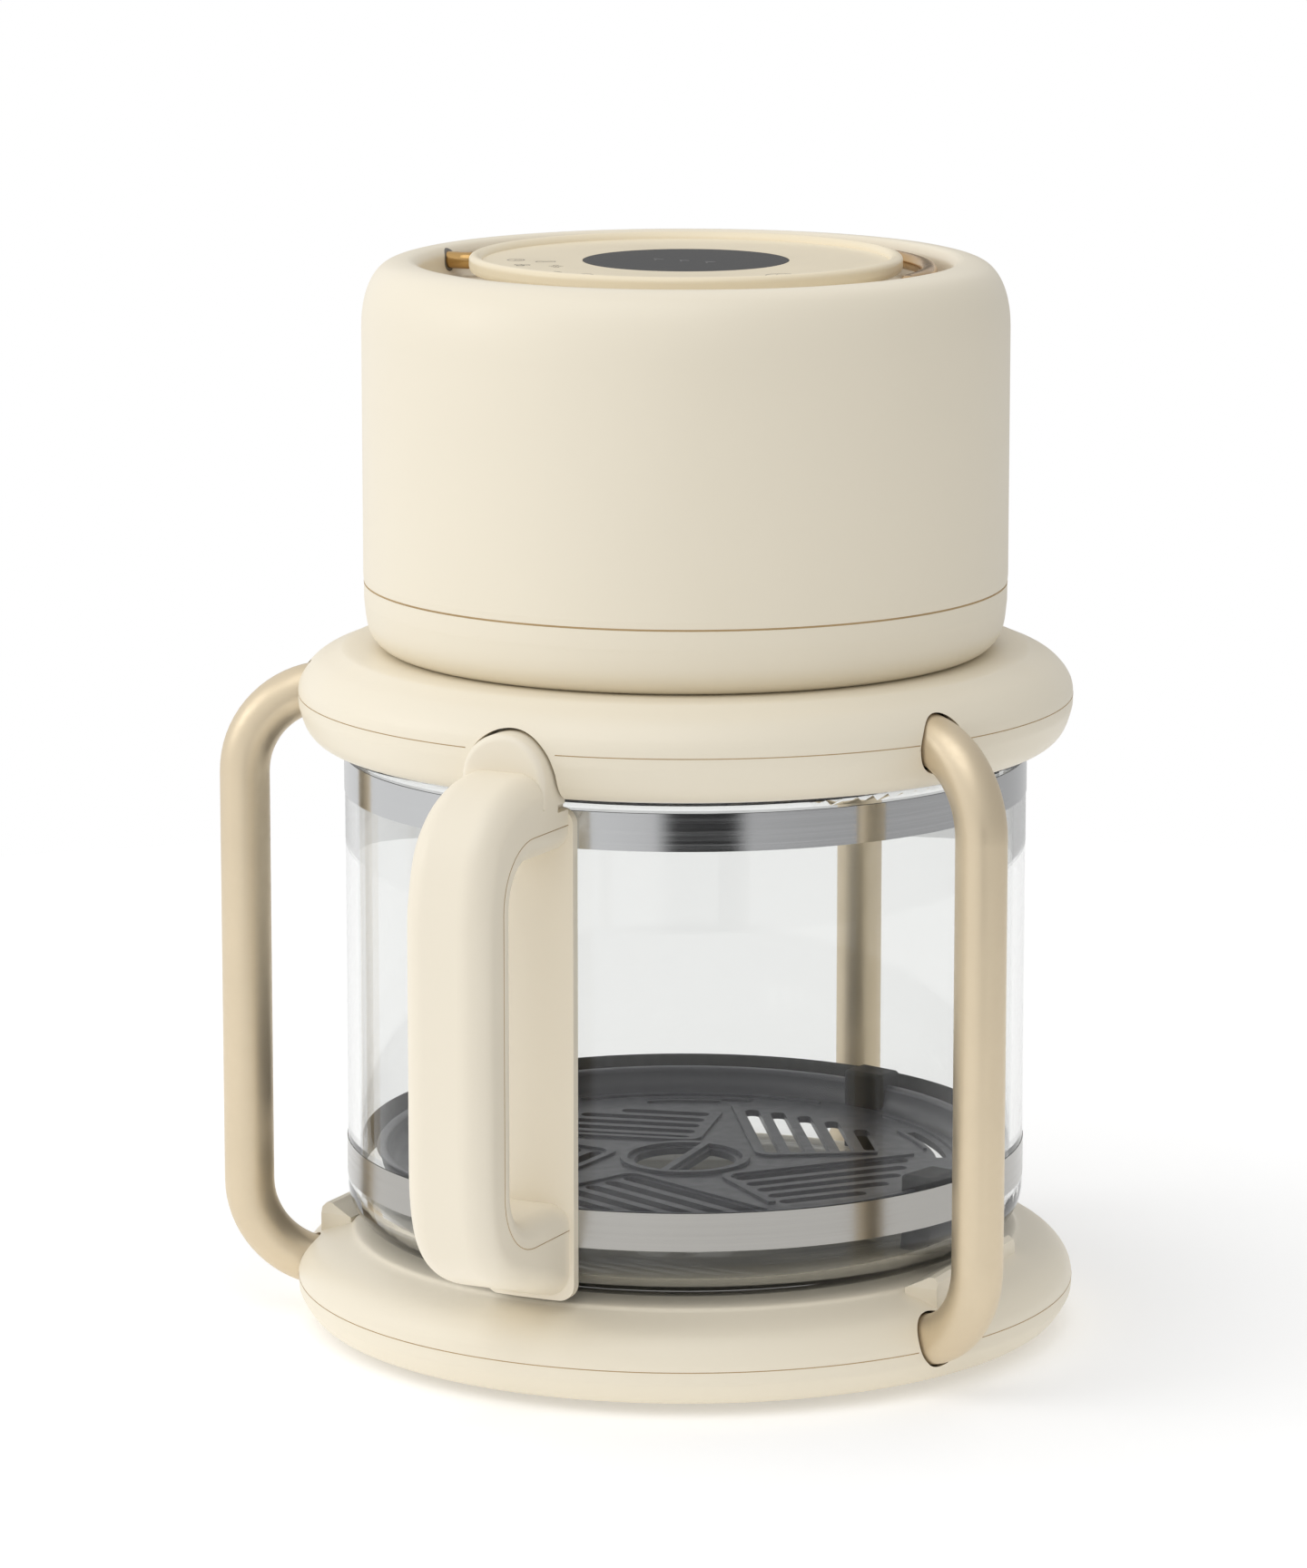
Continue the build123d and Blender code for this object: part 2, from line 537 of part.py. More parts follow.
# --------------------------------------------------------------- glass bowl
c = GLASS_CORNER
ri = GLASS_R - GLASS_WALL
zc = GLASS_BOT_Z + c


def arc_edge(cr, cz, rad, a0, a1):
    am = (a0 + a1) / 2
    f = lambda a: v(cr + rad * math.cos(math.radians(a)), cz + rad * math.sin(math.radians(a)))
    return Edge.make_three_point_arc(f(a0), f(am), f(a1))


def lines(*pts):
    return [Edge.make_line(v(*pts[i]), v(*pts[i + 1])) for i in range(len(pts) - 1)]


fr = GLASS_R - c
edges = lines((0, GLASS_BOT_Z), (fr, GLASS_BOT_Z))
edges.append(arc_edge(fr, zc, c, -90, 0))
edges += lines((GLASS_R, zc), (GLASS_R, LOW_BAND[0]), (GROOVE_R, LOW_BAND[0]), (GROOVE_R, LOW_BAND[1]), (GLASS_R, LOW_BAND[1]),
               (GLASS_R, TOP_BAND[0]), (GROOVE_R, TOP_BAND[0]), (GROOVE_R, TOP_BAND[1]), (GLASS_R, TOP_BAND[1]),
               (GLASS_R, GLASS_RIM_Z - 2.0))
edges.append(arc_edge(GLASS_R - 2.0, GLASS_RIM_Z - 2.0, 2.0, 0, 180))
IN_CORNER = 10.0
GLASS_FLOOR_Z = GLASS_BOT_Z + 5.0
edges += lines((ri, GLASS_RIM_Z - 2.0), (ri, GLASS_FLOOR_Z + IN_CORNER))
edges.append(arc_edge(ri - IN_CORNER, GLASS_FLOOR_Z + IN_CORNER, IN_CORNER, 0, -90))
edges += lines((ri - IN_CORNER, GLASS_FLOOR_Z), (0, GLASS_FLOOR_Z), (0, GLASS_BOT_Z))
glass = revolve(Face(Wire(edges)), axis=Axis.Z)
save("glass_bowl", glass)
save("lower_band", ring_box(GROOVE_R, BAND_R, LOW_BAND[0], LOW_BAND[1]))
save("upper_band", ring_box(GROOVE_R, BAND_R, TOP_BAND[0], TOP_BAND[1]))

# ------------------------------------------------------------------- handle
# curved plate against the bands, with the neck and the tab on top
plate_shell = tube(BAND_R, PLATE_R, 32.4, 187.0)
plate_front = extrude(Plane.XZ * Pos(0, (32.4 + 187.0) / 2) * RectangleRounded(31.0, 187.0 - 32.4, 5.0), amount=140.0)
plate = plate_shell & plate_front
# the neck steps out below the collar and carries the tab
neck = block(-11, 11, -118.0, -107.0, 186.9, 189.6) - cyl(BAND_R + 0.2, 170, 200)
tab = tomb(TAB_HALF_W, -TAB_R, -113.4, 189.2)
tab = tab & cyl(TAB_R + 0.6, 180, 230)
try:
    te = [e for e in tab.edges() if e.center().Y < -126.0 and e.center().Z > 192.0]
    tab = fillet(te, 2.2)
except Exception as ex:
    print("tab fillet skipped", ex)
plate = plate + neck + tab
magnet = ycyl(4.0, -117.0, -113.4, 0, 202.5)
plate = plate - magnet
save("bowl_magnet", magnet)


def hv(r, z):
    return Vector(0, -r, z)


def spline2(pts, t0=None, t1=None):
    vs = [hv(*p) for p in pts]
    if t0 is None:
        return Edge.make_spline(vs)
    return Edge.make_spline(vs, tangents=[Vector(0, -t0[0], t0[1]), Vector(0, -t1[0], t1[1])])


outer_top = [(128.0, 200.2), (141.0, 198.6), (151.0, 194.6), (159.2, 188.0), (165.0, 178.5), (167.9, 167.0), (GRIP_OUT, 153.0)]
outer_low = [(GRIP_OUT, 86.0), (167.9, 71.5), (165.0, 60.8), (159.0, 52.0), (150.5, 46.2), (140.0, 42.4), (128.0, 39.0), (118.0, 35.6), (108.0, 32.4)]
loop_face = Face(Wire([
    Edge.make_line(hv(108.0, 200.2), hv(128.0, 200.2)),
    spline2(outer_top, (1, 0), (0, -1)),
    Edge.make_line(hv(GRIP_OUT, 153.0), hv(GRIP_OUT, 86.0)),
    spline2(outer_low, (0, -1), (-1, -0.32)),
    Edge.make_line(hv(108.0, 32.4), hv(108.0, 200.2)),
]))


def opening_face(off, r_in=104.0):
    """Finger opening grown by off, round corners on the grip side."""
    rr = 12.0 + off
    r1 = GRIP_IN + off
    z0, z1 = OPEN_Z[0] - off, OPEN_Z[1] + off
    q = rr * (1 - math.sqrt(0.5))
    return Face(Wire([
        Edge.make_line(hv(r_in, z1), hv(r1 - rr, z1)),
        Edge.make_three_point_arc(hv(r1 - rr, z1), hv(r1 - q, z1 - q), hv(r1, z1 - rr)),
        Edge.make_line(hv(r1, z1 - rr), hv(r1, z0 + rr)),
        Edge.make_three_point_arc(hv(r1, z0 + rr), hv(r1 - q, z0 + q), hv(r1 - rr, z0)),
        Edge.make_line(hv(r1 - rr, z0), hv(r_in, z0)),
        Edge.make_line(hv(r_in, z0), hv(r_in, z1)),
    ]))


def bar(face, half):
    return Pos(-half, 0, 0) * extrude(face, amount=2 * half, dir=(1, 0, 0))


def side_edges(solid, keep):
    """Edges of the two flanks that keep() accepts."""
    out = []
    for e in solid.edges():
        c0 = e.center()
        if abs(abs(c0.X) - GRIP_HALF_W) > 0.01 or e.bounding_box().size.X > 0.01:
            continue
        if abs(c0.Y + 104.0) < 0.2 or abs(c0.Y + 108.0) < 0.2:
            continue
        if keep(e):
            out.append(e)
    return out


def round_edges(solid, edges, radii):
    for rad in radii:
        try:
            done = fillet(edges, rad)
            print("edge radius", rad)
            return done
        except Exception as ex:
            print("edge radius", rad, "not possible", str(ex)[:50])
    return solid


def near_opening(e, off):
    bb = e.bounding_box()
    return (-bb.min.Y <= GRIP_IN + off + 0.1) and (bb.min.Z >= OPEN_Z[0] - off - 0.1) and (bb.max.Z <= OPEN_Z[1] + off + 0.1)


SPLIT = 8.0           # depth of the inner cover, at the grip's parting line
grip_outer = bar(loop_face, GRIP_HALF_W) - bar(opening_face(SPLIT), GRIP_HALF_W + 5)
grip_outer = round_edges(grip_outer, side_edges(grip_outer, lambda e: not near_opening(e, SPLIT)), (8.0, 6.5, 5.0, 3.5))
grip_inner = bar(opening_face(SPLIT, 108.0), GRIP_HALF_W) - bar(opening_face(0.0, 100.0), GRIP_HALF_W + 5)
grip_inner = round_edges(grip_inner, side_edges(grip_inner, lambda e: near_opening(e, 0.0)), (6.5, 5.0, 3.5))
trim_tool = cyl(PLATE_R, 20, 230)
tab_tool = tomb(TAB_HALF_W, -TAB_R, -100.0, 189.2) + block(-TAB_HALF_W, TAB_HALF_W, -118.0, -100, 186.9, 196.0)
SCREW_Z = (178.0, 50.5)
hscrews = []
for z in SCREW_Z:
    sc = ycyl(2.0, -128.0, -110.5, 0, z) + ycyl(3.6, -110.5, -109.2, 0, z)
    hscrews.append(sc)
hscrew = fuse(hscrews)
plate = plate - hscrew
plate = plate - ycyl(3.6, -110.5, -105.0, 0, SCREW_Z[0]) - ycyl(3.6, -110.5, -105.0, 0, SCREW_Z[1])
grip_outer = grip_outer - trim_tool - tab_tool - hscrew
grip_outer = max(grip_outer.solids(), key=lambda q: q.volume)
grip_inner = grip_inner - trim_tool - hscrew
grip_inner = max(grip_inner.solids(), key=lambda q: q.volume)
save("handle_plate", plate)
save("grip_outer", grip_outer)
save("grip_inner_cover", grip_inner)
save("handle_screws", hscrew)

# --------------------------------------------------------------------- tray
T = 2.2
tray = rev(
    [(0, TRAY_FLOOR_Z - T), (92.5, TRAY_FLOOR_Z - T)],
    [(92.5, TRAY_FLOOR_Z - T), (95.8, TRAY_FLOOR_Z - 0.6), (97.6, TRAY_FLOOR_Z + 2.4), (98.2, TRAY_RIM_Z - 0.9)],
    [(98.2, TRAY_RIM_Z - 0.9), (99.5, TRAY_RIM_Z - 0.5)],
    [(99.5, TRAY_RIM_Z - 0.5), (99.2, TRAY_RIM_Z), (98.0, TRAY_RIM_Z + 0.1), (96.8, TRAY_RIM_Z - 0.3), (96.4, TRAY_RIM_Z - 1.6)],
    [(96.4, TRAY_RIM_Z - 1.6), (95.9, TRAY_FLOOR_Z + 3.0), (94.4, TRAY_FLOOR_Z + 0.7), (91.8, TRAY_FLOOR_Z)],
    [(91.8, TRAY_FLOOR_Z), (0, TRAY_FLOOR_Z)],
)


def slot(cx, cy, length, width, deg):
    s = Pos(cx, cy) * Rot(0, 0, deg) * SlotOverall(length, width)
    return Pos(0, 0, TRAY_FLOOR_Z - 4) * extrude(s, amount=8)


def arc_slot(r, width, a0, a1):
    s = tube(r - width / 2, r + width / 2, TRAY_FLOOR_Z - 4, TRAY_FLOOR_Z + 4)
    am = (a0 + a1) / 2
    h = (a1 - a0) / 2
    wedge = Face(Wire.make_polygon([Vector(0, 0, TRAY_FLOOR_Z - 5)] + [
        Vector(*polar(130, am + h * t), TRAY_FLOOR_Z - 5) for t in (-1, -0.5, 0, 0.5, 1)], close=True))
    w = extrude(wedge, amount=10, dir=(0, 0, 1))
    return s & w


# centre boss: a raised ring crossed by a bar between two half-moon holes
BAR_DEG = 95.0
boss = tube(18.6, 21.0, TRAY_FLOOR_Z, TRAY_FLOOR_Z + 1.3)
tray = tray + boss
half_moons = cyl(16.4, TRAY_FLOOR_Z - 6, TRAY_FLOOR_Z + 4)
sbar = Rot(0, 0, BAR_DEG) * block(-18, 18, -2.7, 2.7, TRAY_FLOOR_Z - 7, TRAY_FLOOR_Z + 5)
tray = tray - (half_moons - sbar)
tray = tray + Rot(0, 0, BAR_DEG) * block(-18.9, 18.9, -1.3, 1.3, TRAY_FLOOR_Z, TRAY_FLOOR_Z + 1.3)

# five groups of parallel slots set like a pinwheel: each group's slots run
# from an inner line out to one circle
GROUPS = 5
GROUP_DEG = -22.0
SLOT_IN = 4.5
SLOT_OUT_R = 73.0
SLOT_W = 4.8
SLOT_ROWS = [29.5 + 8.1 * j for j in range(5)]


def at_uw(u, w, deg):
    """Point at u along the direction deg and w along deg - 90."""
    a = math.radians(deg)
    b = math.radians(deg - 90)
    return u * math.cos(a) + w * math.cos(b), u * math.sin(a) + w * math.sin(b)


cuts = []
for gi in range(GROUPS):
    deg = GROUP_DEG + 360 / GROUPS * gi
    for w in SLOT_ROWS:
        u1 = math.sqrt(SLOT_OUT_R ** 2 - (w + SLOT_W / 2) ** 2)
        cx, cy = at_uw((SLOT_IN + u1) / 2, w, deg)
        cuts.append(slot(cx, cy, u1 - SLOT_IN, SLOT_W, deg))
for gi in range(GROUPS):
    am = 90 + GROUP_DEG + 360 / GROUPS * gi + 62
    cuts.append(arc_slot(83.2, 3.4, am - 12, am + 12))
for cshape in cuts:
    tray = tray - cshape
# raised ribs: an angle round the inner corner of each group and arcs near the rim
for gi in range(GROUPS):
    deg = GROUP_DEG + 360 / GROUPS * gi
    w0 = SLOT_ROWS[0] - SLOT_W / 2 - 2.6
    w1 = SLOT_ROWS[-1] + 1.0
    u0 = SLOT_IN - 3.0
    u1 = math.sqrt(76.0 ** 2 - w0 ** 2) - 2.0
    outer = Pos(*at_uw((u0 + 100) / 2 - 0.6, (w0 + 100) / 2 - 0.6, deg)) * Rot(0, 0, deg) * RectangleRounded(100 - u0 + 1.2, 100 - w0 + 1.2, 6.0)
    inner = Pos(*at_uw((u0 + 100) / 2 + 0.6, (w0 + 100) / 2 + 0.6, deg)) * Rot(0, 0, deg) * RectangleRounded(100 - u0 - 1.2, 100 - w0 - 1.2, 4.8)
    ell = Pos(0, 0, TRAY_FLOOR_Z) * extrude(outer - inner, amount=0.9)
    tray = tray + (ell & (Rot(0, 0, deg) * block(u0 - 2, u1, -w1, -w0 + 2, TRAY_FLOOR_Z, TRAY_FLOOR_Z + 0.9)))
for r, half, shift in ((88.6, 27.0, 0.0), (79.3, 9.0, 4.0)):
    for gi in range(GROUPS):
        am = 90 + GROUP_DEG + 360 / GROUPS * gi + 62 + shift
        s = tube(r - 0.6, r + 0.6, TRAY_FLOOR_Z, TRAY_FLOOR_Z + 0.9)
        wedge = Face(Wire.make_polygon([Vector(0, 0, TRAY_FLOOR_Z - 1)] + [
            Vector(*polar(130, am + half * t), TRAY_FLOOR_Z - 1) for t in (-1, -0.5, 0, 0.5, 1)], close=True))
        tray = tray + (s & extrude(wedge, amount=4, dir=(0, 0, 1)))

cavity_edges = lines((0, GLASS_FLOOR_Z + 0.25), (ri - IN_CORNER, GLASS_FLOOR_Z + 0.25))
cavity_edges.append(arc_edge(ri - IN_CORNER, GLASS_FLOOR_Z + IN_CORNER, IN_CORNER - 0.25, -90, 0))
cavity_edges += lines((ri - 0.25, GLASS_FLOOR_Z + IN_CORNER), (ri - 0.25, 150.0), (0, 150.0), (0, GLASS_FLOOR_Z + 0.25))
cavity = revolve(Face(Wire(cavity_edges)), axis=Axis.Z)
feet = []
for a in (-14.0, 76.0, 166.0, 256.0):
    f = block(-8.0, 8.0, -104.45, -93.0, GLASS_FLOOR_Z, 63.0)
    try:
        f = fillet([e for e in f.edges() if abs(e.center().Z - 63.0) < 0.01 or abs(abs(e.center().X) - 8.0) < 0.01], 1.6)
    except Exception as ex:
        print("foot fillet skipped", ex)
    feet.append(turn(f, a))
tray_feet = fuse(feet) & cavity
tray_feet = tray_feet - tray
keep = [s for s in tray_feet.solids() if s.volume > 20]
# the foot wraps the tray's rim: the inner lips that the rim cuts off stay as grips
tray_feet = Compound(children=keep)
save("crisper_tray", tray)
save("tray_feet", tray_feet)

print("nodes", len(NODES))
for n, s in NODES.items():
    bb = s.bounding_box()
    print(f"{n:22s} solids {len(s.solids()):2d}  x {bb.min.X:8.2f} {bb.max.X:8.2f}  y {bb.min.Y:8.2f} {bb.max.Y:8.2f}  z {bb.min.Z:8.2f} {bb.max.Z:8.2f}")
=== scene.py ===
import bpy, bmesh, math, json
from mathutils import Vector, Matrix


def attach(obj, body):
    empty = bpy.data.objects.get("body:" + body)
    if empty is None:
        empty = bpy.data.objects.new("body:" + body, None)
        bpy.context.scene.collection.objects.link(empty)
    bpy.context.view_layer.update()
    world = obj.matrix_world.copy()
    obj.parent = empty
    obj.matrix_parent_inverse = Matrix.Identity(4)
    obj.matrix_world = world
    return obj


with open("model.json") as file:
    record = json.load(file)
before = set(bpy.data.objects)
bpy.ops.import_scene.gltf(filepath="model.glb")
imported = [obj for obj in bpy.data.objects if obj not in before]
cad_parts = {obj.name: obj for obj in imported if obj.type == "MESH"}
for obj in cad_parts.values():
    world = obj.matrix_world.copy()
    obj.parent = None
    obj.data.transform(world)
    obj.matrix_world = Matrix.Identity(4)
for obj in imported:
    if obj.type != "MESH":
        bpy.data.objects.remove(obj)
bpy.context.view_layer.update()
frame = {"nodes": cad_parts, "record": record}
N = frame["nodes"]

# light and stage settings
FLOOR_R = 0.8
LEFT_DIR = (-0.85, -0.35, 0.35)
W_RIGHT, W_LEFT = 0.49, 0.92
GAP_DIR = (0.52, -0.85, -0.19)
GAP_COS0, GAP_COS1, GAP_LOW = 0.96, 0.99, 0.04
BACK_DIR = (-0.437, 0.895, 0.09)
BACK_COS0, BACK_COS1, BACK_LOW = 0.975, 0.993, 0.22


# ------------------------------------------------------------------ materials
def srgb(r, g, b):
    def f(c):
        c /= 255.0
        return c / 12.92 if c <= 0.04045 else ((c + 0.055) / 1.055) ** 2.4
    return (f(r), f(g), f(b), 1.0)


class M:
    """Small builder for one Principled material."""

    def __init__(self, name, color, rough=0.5, metal=0.0, **kw):
        self.m = bpy.data.materials.new(name)
        self.m.use_nodes = True
        self.nt = self.m.node_tree
        self.p = self.nt.nodes["Principled BSDF"]
        self.p.inputs["Base Color"].default_value = color
        self.p.inputs["Roughness"].default_value = rough
        self.p.inputs["Metallic"].default_value = metal
        for k, v in kw.items():
            self.p.inputs[k.replace("_", " ")].default_value = v
        self.tc = self.nt.nodes.new("ShaderNodeTexCoord")

    def node(self, kind, **kw):
        n = self.nt.nodes.new(kind)
        for k, v in kw.items():
            setattr(n, k, v)
        return n

    def link(self, a, b):
        self.nt.links.new(a, b)

    def coords(self, scale=(1, 1, 1)):
        mp = self.node("ShaderNodeMapping")
        mp.inputs["Scale"].default_value = scale
        self.link(self.tc.outputs["Object"], mp.inputs["Vector"])
        return mp.outputs["Vector"]

    def noise(self, scale, detail=3.0, rough=0.5, stretch=(1, 1, 1)):
        n = self.node("ShaderNodeTexNoise")
        n.inputs["Scale"].default_value = scale
        n.inputs["Detail"].default_value = detail
        n.inputs["Roughness"].default_value = rough
        self.link(self.coords(stretch), n.inputs["Vector"])
        return n.outputs["Fac"]

    def ramp(self, fac, stops):
        r = self.node("ShaderNodeValToRGB")
        el = r.color_ramp.elements
        while len(el) > 1:
            el.remove(el[-1])
        el[0].position, el[0].color = stops[0][0], stops[0][1]
        for pos, col in stops[1:]:
            e = el.new(pos)
            e.color = col
        self.link(fac, r.inputs["Fac"])
        return r.outputs["Color"]

    def span(self, fac, lo, hi, flo=0.0, fhi=1.0):
        n = self.node("ShaderNodeMapRange")
        n.inputs["From Min"].default_value = flo
        n.inputs["From Max"].default_value = fhi
        n.inputs["To Min"].default_value = lo
        n.inputs["To Max"].default_value = hi
        self.link(fac, n.inputs["Value"])
        return n.outputs["Result"]

    def bump(self, height, strength, dist=0.0002, normal=None):
        n = self.node("ShaderNodeBump")
        n.inputs["Strength"].default_value = strength
        n.inputs["Distance"].default_value = dist
        self.link(height, n.inputs["Height"])
        if normal is not None:
            self.link(normal, n.inputs["Normal"])
        return n.outputs["Normal"]

    def to(self, socket, out):
        self.link(out, self.p.inputs[socket])


def vary(c, k):
    return (min(1, c[0] * k), min(1, c[1] * k), min(1, c[2] * k), 1.0)


def moulded(name, color, rough=0.42, grain=0.10, **kw):
    """Satin moulded plastic: faint colour drift and a fine spark-eroded grain."""
    b = M(name, color, rough, **kw)
    col = b.ramp(b.noise(9.0, 2.0), [(0.3, vary(color, 0.985)), (0.7, vary(color, 1.012))])
    b.to("Base Color", col)
    b.to("Roughness", b.span(b.noise(55.0, 3.0), rough - 0.03, rough + 0.04, 0.3, 0.7))
    b.to("Normal", b.bump(b.noise(2600.0, 2.0, 0.6), grain, 0.00006))
    return b.m


IVORY = srgb(238, 229, 209)
mats = {}
mats["ivory_plastic"] = moulded("ivory_plastic_look", IVORY, 0.40, 0.10)
mats["ivory_grip"] = moulded("ivory_grip_look", srgb(238, 229, 210), 0.38, 0.08)
mats["panel_plastic"] = moulded("panel_plastic_look", srgb(240, 227, 199), 0.34, 0.05)
mats["grey_plastic"] = moulded("grey_plastic_look", srgb(120, 118, 114), 0.55, 0.25)
mats["black_plastic"] = moulded("black_plastic_look", srgb(34, 34, 36), 0.5, 0.2)


def satin_tube(name, color, rough, metal=1.0):
    """Bead-blasted plated tube: tight grain under a clear satin."""
    b = M(name, color, rough, metal)
    col = b.ramp(b.noise(30.0, 3.0), [(0.25, vary(color, 0.96)), (0.75, vary(color, 1.03))])
    b.to("Base Color", col)
    b.to("Roughness", b.span(b.noise(420.0, 4.0), rough - 0.04, rough + 0.05, 0.3, 0.7))
    b.to("Normal", b.bump(b.noise(5200.0, 2.0, 0.6), 0.10, 0.00004))
    return b.m


mats["champagne_metal"] = satin_tube("champagne_metal_look", srgb(222, 206, 178), 0.40, 0.78)
mats["gold_metal"] = satin_tube("gold_metal_look", srgb(188, 152, 98), 0.22)


def polished(name, color, rough, stretch=(0.15, 0.15, 60.0), strength=0.05):
    """Polished band with faint lines running round it."""
    b = M(name, color, rough, 1.0)
    lines = b.noise(28.0, 4.0, 0.6, stretch)
    b.to("Roughness", b.span(lines, rough - 0.02, rough + 0.06, 0.3, 0.7))
    b.to("Base Color", b.ramp(b.noise(14.0, 2.0), [(0.3, vary(color, 0.97)), (0.7, vary(color, 1.02))]))
    b.to("Normal", b.bump(lines, strength, 0.00005))
    return b.m


mats["polished_steel"] = polished("polished_steel_look", srgb(204, 205, 206), 0.10, strength=0.02)
mats["lower_steel"] = polished("lower_steel_look", srgb(168, 166, 162), 0.20)
mats["zinc_steel"] = polished("zinc_steel_look", srgb(190, 190, 192), 0.30, (1, 1, 1), 0.1)
mats["motor_steel"] = polished("motor_steel_look", srgb(150, 150, 152), 0.35, (1, 1, 40), 0.2)
mats["bright_aluminium"] = polished("bright_aluminium_look", srgb(220, 220, 220), 0.22, (1, 1, 1), 0.06)
mats["heater_steel"] = polished("heater_steel_look", srgb(96, 90, 86), 0.45, (1, 1, 1), 0.2)


def coated():
    """Non-stick coating: charcoal satin with a fine metallic fleck."""
    c = srgb(74, 75, 81)
    b = M("black_coating_look", c, 0.34, 0.0)
    b.p.inputs["Specular IOR Level"].default_value = 0.60
    fl = b.node("ShaderNodeTexVoronoi")
    fl.inputs["Scale"].default_value = 1400.0
    b.link(b.coords(), fl.inputs["Vector"])
    b.to("Base Color", b.ramp(fl.outputs["Distance"], [(0.0, vary(c, 1.7)), (0.16, vary(c, 1.05)), (1.0, vary(c, 0.92))]))
    b.to("Roughness", b.span(b.noise(240.0, 3.0), 0.30, 0.42, 0.3, 0.7))
    b.to("Normal", b.bump(b.noise(1500.0, 3.0, 0.6), 0.18, 0.00006))
    return b.m


mats["black_coating"] = coated()


def rubber(name, c, rough=0.62):
    b = M(name, c, rough)
    b.to("Base Color", b.ramp(b.noise(60.0, 3.0), [(0.3, vary(c, 0.85)), (0.7, vary(c, 1.15))]))
    b.to("Roughness", b.span(b.noise(300.0, 3.0), rough - 0.06, rough + 0.08, 0.3, 0.7))
    b.to("Normal", b.bump(b.noise(1800.0, 3.0, 0.6), 0.2, 0.00008))
    return b.m


mats["black_rubber"] = rubber("black_rubber_look", srgb(24, 24, 26))
mats["grey_rubber"] = rubber("grey_rubber_look", srgb(176, 172, 164))


def gloss_black():
    c = srgb(26, 26, 28)
    b = M("black_gloss_look", c, 0.08)
    b.p.inputs["Coat Weight"].default_value = 0.6
    b.p.inputs["Coat Roughness"].default_value = 0.05
    b.to("Roughness", b.span(b.noise(90.0, 3.0), 0.07, 0.11, 0.3, 0.7))
    b.to("Base Color", b.ramp(b.noise(14.0, 2.0), [(0.3, vary(c, 0.9)), (0.7, vary(c, 1.1))]))
    return b.m


mats["black_gloss"] = gloss_black()


def fibre():
    c = srgb(228, 222, 208)
    b = M("mineral_wool_look", c, 0.95)
    n = b.noise(700.0, 5.0, 0.7, (1, 1, 3))
    b.to("Base Color", b.ramp(n, [(0.3, vary(c, 0.8)), (0.7, vary(c, 1.05))]))
    b.to("Normal", b.bump(n, 0.6, 0.0004))
    return b.m


mats["mineral_wool"] = fibre()


def board():
    c = srgb(24, 92, 58)
    b = M("circuit_board_look", c, 0.35)
    v = b.node("ShaderNodeTexVoronoi", distance="CHEBYCHEV")
    v.inputs["Scale"].default_value = 160.0
    b.link(b.coords(), v.inputs["Vector"])
    b.to("Base Color", b.ramp(v.outputs["Distance"], [(0.0, vary(c, 1.9)), (0.1, vary(c, 1.2)), (0.3, c)]))
    b.to("Roughness", b.span(b.noise(80.0), 0.3, 0.42, 0.3, 0.7))
    return b.m


mats["circuit_board"] = board()


def clear_glass():
    """Clear soda-lime glass with a faint grey-green edge. Lamps shine through it."""
    m = bpy.data.materials.new("clear_glass_look")
    m.use_nodes = True
    nt = m.node_tree
    p = nt.nodes["Principled BSDF"]
    out = nt.nodes["Material Output"]
    p.inputs["Base Color"].default_value = (0.895, 0.900, 0.893, 1)
    p.inputs["Roughness"].default_value = 0.0
    p.inputs["IOR"].default_value = 1.34
    p.inputs["Transmission Weight"].default_value = 1.0
    tr = nt.nodes.new("ShaderNodeBsdfTransparent")
    tr.inputs["Color"].default_value = (0.95, 0.955, 0.95, 1)
    lp = nt.nodes.new("ShaderNodeLightPath")
    mx = nt.nodes.new("ShaderNodeMixShader")
    nt.links.new(lp.outputs["Is Shadow Ray"], mx.inputs["Fac"])
    nt.links.new(p.outputs["BSDF"], mx.inputs[1])
    nt.links.new(tr.outputs["BSDF"], mx.inputs[2])
    nt.links.new(mx.outputs["Shader"], out.inputs["Surface"])
    return m


mats["clear_glass"] = clear_glass()

slot_of = {s["node"]: s["material_slot"] for s in frame["record"]["subparts"]}
special = {"grip_outer": "ivory_grip", "grip_inner_cover": "ivory_grip", "handle_plate": "ivory_grip",
           "lower_band": "lower_steel"}


def smooth(o, angle=32.0):
    """Shade smooth with sharp edges kept; no vertex moves."""
    me = o.data
    for poly in me.polygons:
        poly.use_smooth = True
    bm = bmesh.new()
    bm.from_mesh(me)
    lim = math.radians(angle)
    for e in bm.edges:
        if len(e.link_faces) == 2:
            e.smooth = e.calc_face_angle(0.0) < lim
        else:
            e.smooth = True
    bm.to_mesh(me)
    bm.free()


for name, o in N.items():
    m = mats[special.get(name, slot_of[name])]
    if not o.material_slots:
        o.data.materials.append(m)
    for s in o.material_slots:
        s.material = m


# -------------------------------------------------------------- small helpers
def new_mesh(name, bm, material, body):
    me = bpy.data.meshes.new(name)
    bmesh.ops.recalc_face_normals(bm, faces=bm.faces)
    bm.to_mesh(me)
    bm.free()
    for poly in me.polygons:
        poly.use_smooth = True
    o = bpy.data.objects.new(name, me)
    bpy.context.scene.collection.objects.link(o)
    me.materials.append(material)
    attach(o, body)
    return o


